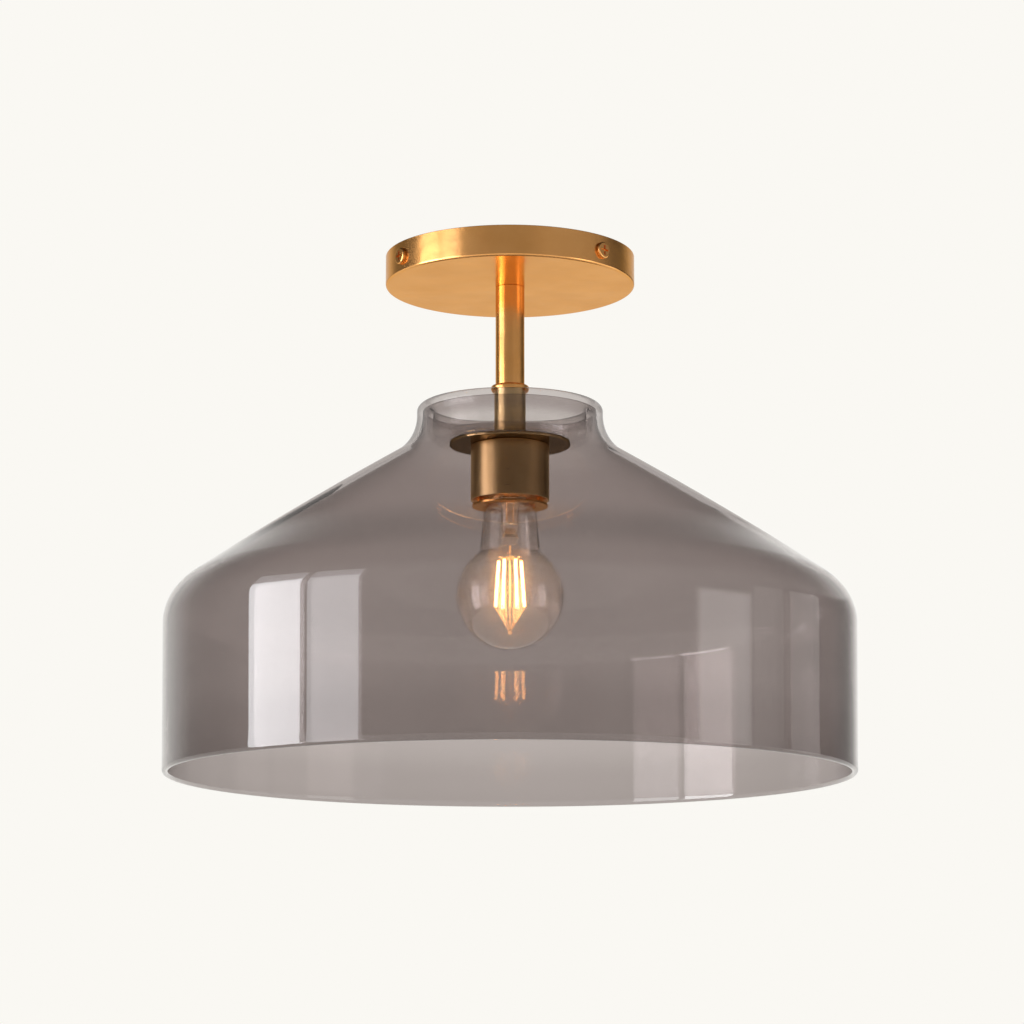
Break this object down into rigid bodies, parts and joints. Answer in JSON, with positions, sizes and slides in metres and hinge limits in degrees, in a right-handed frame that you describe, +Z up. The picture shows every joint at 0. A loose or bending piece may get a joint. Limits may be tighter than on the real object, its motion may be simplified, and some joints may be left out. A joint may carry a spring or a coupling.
{
  "type": "semi flush ceiling light",
  "caption": "Semi flush ceiling light: smoky blown glass shade with a folded neck, hung by a brass stem from a round canopy, with a clear filament bulb.",
  "frame": {"origin": "centre of the mounting plate's upper face, on the ceiling plane", "axes": "+Z up towards the ceiling along the stem, -Y towards the front, the light hangs below"},
  "size_m": [0.4088, 0.4088, 0.314],
  "materials": {
    "satin_brass": "satin polished, lacquered",
    "zinc_steel": "zinc plated",
    "green_paint": "green dyed plating",
    "clear_silicone": "translucent silicone",
    "smoky_glass": "clear polished, smoky grey through the body",
    "white_ceramic": "glazed ceramic",
    "contact_brass": "bright stamped",
    "black_insulation": "extruded insulation",
    "white_insulation": "extruded insulation",
    "connector_plastic": "moulded",
    "nickel": "nickel plated, rolled",
    "black_glass": "fused black glass",
    "clear_glass": "clear polished",
    "filament_coating": "lit phosphor coating",
    "wire_steel": "drawn wire"
  },
  "bodies": {
    "fixture": {"canopy": "satin_brass", "canopy_screws": "satin_brass", "mounting_plate": "zinc_steel", "earth_screw": "green_paint", "threaded_tube": "zinc_steel", "lock_washer": "zinc_steel", "top_nut": "zinc_steel", "stem_tube": "satin_brass", "stem_collar": "satin_brass", "sleeve_tube": "satin_brass", "upper_gasket": "clear_silicone", "glass_shade": "smoky_glass", "lower_gasket": "clear_silicone", "shade_disc": "satin_brass", "lampholder_cup": "satin_brass", "cup_nut": "zinc_steel", "end_plate": "satin_brass", "retaining_ring": "satin_brass", "ring_spacers": "satin_brass", "ring_screws": "satin_brass", "lampholder_body": "white_ceramic", "screw_shell": "contact_brass", "centre_contact": "contact_brass", "terminal_plates": "contact_brass", "terminal_screws": "contact_brass", "live_lead": "black_insulation", "neutral_lead": "white_insulation", "wire_connectors": "connector_plastic"},
    "bulb_core": {"bulb_contact": "nickel", "bulb_insulator": "black_glass"},
    "bulb": {"bulb_cap": "nickel", "bulb_glass": "clear_glass", "bulb_stem": "clear_glass", "led_filaments": "filament_coating", "filament_frame": "wire_steel", "feed_wires": "wire_steel"}
  },
  "joints": [
    {"name": "bulb_travel", "type": "slide", "parent": "fixture", "child": "bulb_core", "axis": [0, 0, -1], "range_m": [0, 0.01815]},
    {"name": "bulb_turn", "type": "hinge", "parent": "bulb_core", "child": "bulb", "pos_m": [0, 0, -0.15], "axis": [0, 0, -1], "range_deg": [0, 1800]}
  ],
  "couplings": [
    {"joint": "bulb_travel", "follows": "bulb_turn", "m_per_rad": 0.00057757}
  ]
}
